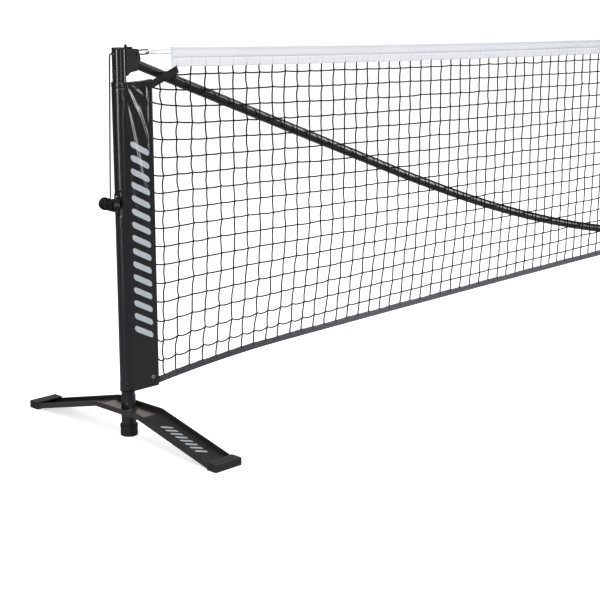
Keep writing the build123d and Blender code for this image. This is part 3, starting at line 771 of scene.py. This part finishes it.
# Painted sheen: most of the black band is painted a patchy lighter grey, the sheen it takes from
# the lights. The sheen fades to near black towards the posts, and slightly darker ticks mark the
# net's columns.
wear_and_sheen = ribbon.noise(rpoint, 26.0, 3.0)
near_end = ((abs(rx) - 2.55) / 0.5).at_least(0.0).at_most(1.0)
painted_sheen_grey = ribbon.mix(wear_and_sheen, (0.066, 0.075, 0.088), (0.09, 0.10, 0.115))
darkened = ribbon.mix(near_end * 0.8 + tick * 0.25, painted_sheen_grey, (0.014, 0.015, 0.017))
ribbon.feed(**{"Base Color": darkened})
ribbon.feed(**{"Sheen Weight": 0.25, "Sheen Roughness": 0.4})
ribbon.bump(ribs, 0.0002, 0.5)
band_half = [(-0.0002, 0.0088), (-0.0010, 0.0072), (-0.0016, 0.0035), (-0.0012, 0.0006)]
band_half += [(-0.0010, 0.0), (-0.0013, -0.0006), (-0.0017, -0.0040), (-0.0012, -0.0078)]
band_loop = np.array(band_half + [(0.0, -0.0088)] + [(-y, z) for y, z in band_half[::-1]])


def band_piece():
    """One length of ribbon from sleeve to sleeve, with a slight wave along its upper edge."""
    xs = np.linspace(-(HALF - 0.0804), HALF - 0.0804, 441)
    noise = np.random.default_rng(5)
    wave = 0.0007 * np.sin(xs * 31.0) + 0.0005 * np.sin(2 * pi * xs / PITCH)
    wave = wave + noise.normal(0, 0.0002, len(xs))
    rings = np.zeros((len(xs), len(band_loop), 3))
    rings[..., 0] = xs[:, None]
    rings[..., 1] = NET_Y + band_loop[:, 0]
    rings[..., 2] = band_middle(xs)[:, None] + band_loop[:, 1]
    rings[..., 2] += wave[:, None] * (band_loop[:, 1] > 0.002)
    count = len(band_loop)
    faces = ring_faces(len(xs), count)
    last = (len(xs) - 1) * count
    faces += [tuple(range(count)), tuple(range(last, last + count))]
    return make("bottom_ribbon", rings, faces, "net_and_middle", ribbon)


band = band_piece()
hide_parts("bottom_band")
dark_thread = Finish("dark_thread", (0.03, 0.031, 0.034), 0.5)
fluff = dark_thread.noise(dark_thread.place()[3], 3000.0, 2.0)
twisted = dark_thread.mix(fluff, (0.018, 0.018, 0.02), (0.06, 0.062, 0.066))
dark_thread.feed(**{"Base Color": twisted})
dark_thread.bump(fluff, 0.0002, 0.6)
band_x = np.arange(-3.268, 3.268, 0.0052)
band_line = np.stack([band_x, np.full_like(band_x, NET_Y - 0.00115), band_middle(band_x)], -1)
stitches("ribbon_seam", band_line, 0.0003, 0.0033, "net_and_middle", dark_thread,
         (0, -1, 0))

# ---- straps -------------------------------------------------------------------------------------
# Black polypropylene webbing. One joins each sleeve's top corner to the tape's lower corner, with
# its ends folded under and box-stitched. One loops round the rod behind the tape.
strap_web = Finish("black_webbing", (0.009, 0.009, 0.010), 0.6)
wx, _, wz, _ = strap_web.place()
lengthways = abs(wx) * 0.929 - wz * 0.369
crossways = abs(wx) * 0.369 + wz * 0.929
twill = (lengthways * 3100.0 + crossways * 2400.0).sine()
twist = (lengthways * 3100.0 - crossways * 2400.0).sine()
weave = twill.at_least(twist)
woven = strap_web.mix(weave * 0.5 + 0.5, (0.004, 0.004, 0.005), (0.014, 0.014, 0.016))
strap_web.feed(**{"Base Color": woven})
strap_web.feed(**{"Specular IOR Level": 0.2})
strap_web.bump(weave, 0.0005, 0.9)


def webbing(name, middle, across, width, thickness, body):
    """A flat strap along a run of points. across is its width's direction at each."""
    middle, across = np.asarray(middle, float), np.asarray(across, float)
    along = np.gradient(middle, axis=0)
    along /= np.linalg.norm(along, axis=1, keepdims=True)
    through = np.cross(along, across)
    section = [(-1, -0.5), (-0.97, -0.85), (-0.9, -1), (-0.45, -0.94), (0, -1)]
    section += [(0.45, -0.94), (0.9, -1), (0.97, -0.85), (1, -0.5)]
    section += [(s, -t) for s, t in section[::-1]]
    rings = [[m + a * (s * width / 2) + t * (d * thickness / 2) for s, d in section]
             for m, a, t in zip(middle, across, through)]
    count = len(section)
    faces = ring_faces(len(rings), count)
    last = (len(rings) - 1) * count
    faces += [tuple(range(count)), tuple(range(last, last + count))]
    return make(name, rings, faces, body, strap_web)


STRAP_FACE = -0.0202              # the middle of the strap, in front of the net
STRAP_WIDTH = 0.018


def strap_frame(side):
    """A corner strap's two ends, the way it runs and the way its width lies."""
    low, high = at_end(side, [(0.066, STRAP_FACE, 0.824), (0.157, STRAP_FACE, 0.860)])
    along = (high - low) / np.linalg.norm(high - low)
    across = np.cross(along, (0, -1.0, 0))
    return low, high, along, across


for end, side in ENDS:
    low, high, along, across = strap_frame(side)
    t = np.linspace(0, 1, 31)
    middle = low + (high - low) * t[:, None]
    middle[:, 1] -= 0.0006 * np.sin(pi * t) ** 2
    strap = webbing("corner_strap_" + end, middle, np.tile(across, (31, 1)), STRAP_WIDTH, 0.0013,
                    "net_and_middle")
    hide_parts("side_strap_" + end)
    box_path = []
    for t0, t1 in ((0.03, 0.17), (0.80, 0.97)):
        a, b = low + (high - low) * t0, low + (high - low) * t1
        inset = across * 0.0064
        corners = [a - inset, b - inset, b + inset, a + inset]
        for p, q in zip(corners, corners[1:] + corners[:1]):
            steps = max(2, int(np.linalg.norm(q - p) / 0.0028))
            box_path.append(p + (q - p) * ((np.arange(steps) + 0.5) / steps)[:, None])
    for i, path in enumerate(box_path):
        path[:, 1] = STRAP_FACE - 0.00075
        stitches(f"box_stitch_{end}_{i}", path, 0.0003, 0.002, "net_and_middle", dark_thread,
                 (0, -1, 0))


def rod_loop():
    """Round the back of the rod, and forward to the tape on both sides."""
    out = 0.0107
    bend = [(out * cos(a), out * sin(a)) for a in np.linspace(0, pi, 19)]
    run = [(out, y) for y in np.linspace(-0.0148, -0.001, 8)]
    flat = run + bend[1:-1] + [(-x, y) for x, y in run[::-1]]
    return np.array([(x, y, TAPE_LOW - 0.030) for x, y in flat])


loop_line = rod_loop()
upright = np.tile((0, 0, 1.0), (len(loop_line), 1))
centre = webbing("rod_webbing", loop_line, upright, 0.030, 0.0016, "net_and_middle")
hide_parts("centre_loop")

# ---- sleeves ------------------------------------------------------------------------------------
# Glossy black vinyl wrapped round each post and drawn out to a flat edge, which is bound with
# ribbon and sewn to the net. Hemmed top and bottom, with a window for the cleat and an eyelet low
# on the edge. A generic row of light bars is printed on the front.
SLEEVE_OUT = 0.017575
SLEEVE_EDGE = 0.0795
SLEEVE_LOW, SLEEVE_HIGH = 0.111, 0.837
WINDOW = (CLEAT[2] - 0.027, CLEAT[2] + 0.027)
vinyl = Finish("black_vinyl", (0.011, 0.0113, 0.012), 0.24)
vx, vy, vz, vpoint = vinyl.place()
leather = vinyl.noise(vpoint, 1100.0, 3.0, 0.6)
handled = vinyl.noise(vpoint, 24.0, 4.0, 0.6)
stretched = vinyl.node("Mapping", {"vector_type": "POINT"},
                       {"Vector": vpoint, "Scale": (1.0, 1.0, 0.35)})
soft_folds = vinyl.noise(stretched, 42.0, 2.0)
print_across = HALF - abs(vx) - 0.038
front_only = vy.below(-0.0150, 0.0006)
printed = bars(vz, print_across, 0.235, 0.70, 0.027, 0.0310, 0.5, 0.0145) * front_only
ink = printed * (0.86 + handled * 0.14)
vinyl.feed(**{"Base Color": vinyl.mix(ink, (0.005, 0.0055, 0.0065), (0.44, 0.48, 0.51))})
vinyl.feed(Roughness=0.17 + handled * 0.16 + printed * 0.16)
vinyl.feed(**{"Coat Weight": 0.3, "Coat Roughness": 0.12})
vinyl.bump(leather * 0.25 + soft_folds * 2.2, 0.0007, 0.55)

# Creases on the front, each from its upper end to its lower one, with its height and half width.
CREASES = (
    ((0.003, 0.826), (0.060, 0.700), 0.0044, 0.0095),
    ((0.000, 0.800), (0.034, 0.640), 0.0036, 0.0090),
    ((0.016, 0.828), (0.078, 0.780), 0.0030, 0.0070),
    ((0.058, 0.822), (0.064, 0.740), 0.0024, 0.0070),
    ((0.034, 0.780), (0.069, 0.660), 0.0028, 0.0080),
    ((0.018, 0.690), (0.058, 0.560), 0.0022, 0.0110),
    ((0.002, 0.640), (0.030, 0.500), 0.0014, 0.0100),
    ((0.040, 0.520), (0.060, 0.360), 0.0012, 0.0120),
    ((0.020, 0.400), (0.044, 0.250), 0.0010, 0.0120),
)


def crease_height(x, z):
    total = 0.0
    for (x0, z0), (x1, z1), high, half in CREASES:
        dx, dz = x1 - x0, z1 - z0
        size = dx * dx + dz * dz
        t = ((x - x0) * dx + (z - z0) * dz) / size
        near = np.clip(t, 0, 1)
        off = (x - x0 - near * dx) ** 2 + (z - z0 - near * dz) ** 2
        fade = np.sin(pi * np.clip(t * 0.9 + 0.08, 0, 1)) ** 0.6
        total = total + high * fade * np.exp(-off / (2 * (half * 0.55) ** 2))
    return total


def hem_step(z):
    """The turned hems stand a little proud, with a sharp fold where they end."""
    top = smooth(z, SLEEVE_HIGH - 0.0125, SLEEVE_HIGH - 0.0105)
    low = 1 - smooth(z, SLEEVE_LOW + 0.0195, SLEEVE_LOW + 0.0215)
    pinch = -0.0007 * np.exp(-((z - SLEEVE_HIGH + 0.0132) / 0.0012) ** 2)
    return 0.0005 * (top + low) + pinch


def sleeve_grid():
    """Where the wrap runs: front edge, flat front, round the post, flat back, back edge."""
    flat = np.linspace(SLEEVE_EDGE, 0.0, 37)[:-1]
    front = [(x, -SLEEVE_OUT - 0.0012 * x / SLEEVE_EDGE, 0.0, -1.0) for x in flat]
    half_turn = np.concatenate([np.linspace(0, 47, 8)[:-1], np.linspace(47, 133, 13),
                                np.linspace(133, 167, 6)[1:]])
    round_post = []
    for a in np.radians(half_turn):
        round_post.append((-SLEEVE_OUT * sin(a), -SLEEVE_OUT * cos(a), -sin(a), -cos(a)))
    start = (0.004, sqrt(SLEEVE_OUT ** 2 - 0.004 ** 2))
    stop = (SLEEVE_EDGE, -0.0161)
    lean = np.array([start[1] - stop[1], stop[0] - start[0]])
    lean /= np.linalg.norm(lean)
    back = [(start[0] + (stop[0] - start[0]) * t, start[1] + (stop[1] - start[1]) * t, *lean)
            for t in np.linspace(0, 1, 21)]
    return np.array(front + round_post + back), len(front)


def sleeve_piece(end, side):
    """The wrap of one sleeve: creased in front, hemmed, cut away round the cleat."""
    section, front_count = sleeve_grid()
    levels = [np.arange(SLEEVE_LOW, WINDOW[0] - 0.001, 0.004),
              np.linspace(WINDOW[0], WINDOW[1], 15),
              np.arange(WINDOW[1] + 0.004, 0.810, 0.004),
              np.arange(0.812, SLEEVE_HIGH + 0.0001, 0.0012)]
    z = np.concatenate(levels)
    z[-1] = SLEEVE_HIGH
    across = section[None, :, 0]
    zz = np.repeat(z[:, None], len(section), 1)
    x = np.repeat(section[None, :, 0], len(z), 0)
    y = np.repeat(section[None, :, 1], len(z), 0)
    on_front = np.zeros(len(section))
    on_front[:front_count] = 1 - smooth(section[:front_count, 0], 0.060, 0.068)
    on_front[front_count:front_count + 4] = (0.9, 0.6, 0.3, 0.1)
    lift = crease_height(np.maximum(x, 0), zz) * on_front
    lift = lift + 0.00045 * np.sin(zz * 34 + x * 55) * np.sin(zz * 13 + 2) * on_front
    lift = lift + hem_step(zz) * np.where(np.abs(x) > 0.069, 0.0, 1.0)
    x = x + section[None, :, 2] * lift
    y = y + section[None, :, 3] * lift
    sag = 0.004 * np.clip((across - 0.03) / 0.05, 0, 1) * smooth(zz, 0.80, 0.84)
    zz = zz + sag - 0.0016 * np.sin(np.clip(across / 0.08, 0, 1) * pi) * smooth(zz, 0.80, 0.84)
    corners = np.stack([side * (HALF - x), y, zz], -1)
    count = len(section)
    faces = []
    for i in range(len(z) - 1):
        height = (z[i] + z[i + 1]) / 2
        for j in range(count - 1):
            px, py = (section[j, :2] + section[j + 1, :2]) / 2
            if WINDOW[0] < height < WINDOW[1] and px < -0.007 and abs(py) < 0.0119:
                continue
            a = i * count + j
            faces.append((a, a + 1, a + count + 1, a + count)[::-side])
    data = bpy.data.meshes.new("sleeve_wrap_" + end)
    data.from_pydata([tuple(c) for c in corners.reshape(-1, 3)], [], faces)
    data.materials.append(vinyl.material)
    data.polygons.foreach_set("use_smooth", [True] * len(data.polygons))
    piece = bpy.data.objects.new("sleeve_wrap_" + end, data)
    bpy.context.scene.collection.objects.link(piece)
    wall = piece.modifiers.new("wall", "SOLIDIFY")
    wall.thickness = 0.0010
    wall.offset = -1.0
    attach(piece, "end_" + end)
    return piece


def binding(end, side):
    """Ribbon folded over the sleeve's edge, front and back."""
    inner = 0.0690
    profile = [(inner, -0.01885), (inner + 0.0008, -0.01918)]
    profile += [(0.0750, -0.01922), (0.0790, -0.01915)]
    profile += [(0.0799, -0.0186), (0.0800, -0.0175), (0.0799, -0.0164), (0.0790, -0.0159)]
    profile += [(0.0750, -0.0156), (inner + 0.0008, -0.0140), (inner, -0.0142)]
    profile += [(inner + 0.002, -0.0150), (0.0775, -0.0166)]
    profile += [(0.0775, -0.0184), (inner + 0.002, -0.0184)]
    z = np.linspace(SLEEVE_LOW + 0.0004, SLEEVE_HIGH + 0.0034, 150)
    rings = [[(side * (HALF - x), y, h) for x, y in profile] for h in z]
    count = len(profile)
    faces = ring_faces(len(z), count)
    last = (len(z) - 1) * count
    faces += [tuple(range(count)), tuple(range(last, last + count))]
    return make("edge_binding_" + end, rings, faces, "end_" + end, ribbon_dark)


ribbon_dark = Finish("binding_ribbon", (0.016, 0.0165, 0.018), 0.42)
_, _, bz, bpoint = ribbon_dark.place()
rib = (bz * 5200.0).sine()
rubbed = ribbon_dark.noise(bpoint, 60.0, 3.0)
shade = ribbon_dark.mix(rubbed, (0.013, 0.0135, 0.015), (0.026, 0.027, 0.03))
ribbon_dark.feed(**{"Base Color": shade})
ribbon_dark.bump(rib, 0.0003, 0.6)
for end, side in ENDS:
    wrap = sleeve_piece(end, side)
    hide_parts("sleeve_" + end)
    edge = binding(end, side)
    rows = np.arange(SLEEVE_LOW + 0.004, SLEEVE_HIGH, 0.0042)
    seam = at_end(side, [(0.0715, -0.0193, h) for h in rows])
    edge_seam = stitches("binding_seam_" + end, seam, 0.0003, 0.0027, "end_" + end, dark_thread,
                         (0, -1, 0))
    for name, h in (("top", SLEEVE_HIGH - 0.0098), ("low", SLEEVE_LOW + 0.0185)):
        row = at_end(side, [(x, -SLEEVE_OUT - 0.0012 * x / SLEEVE_EDGE - 0.0007, h)
                            for x in np.arange(0.002, 0.067, 0.0038)])
        stitches(f"{name}_hem_seam_{end}", row, 0.0003, 0.0025, "end_" + end,
                             dark_thread, (0, -1, 0))
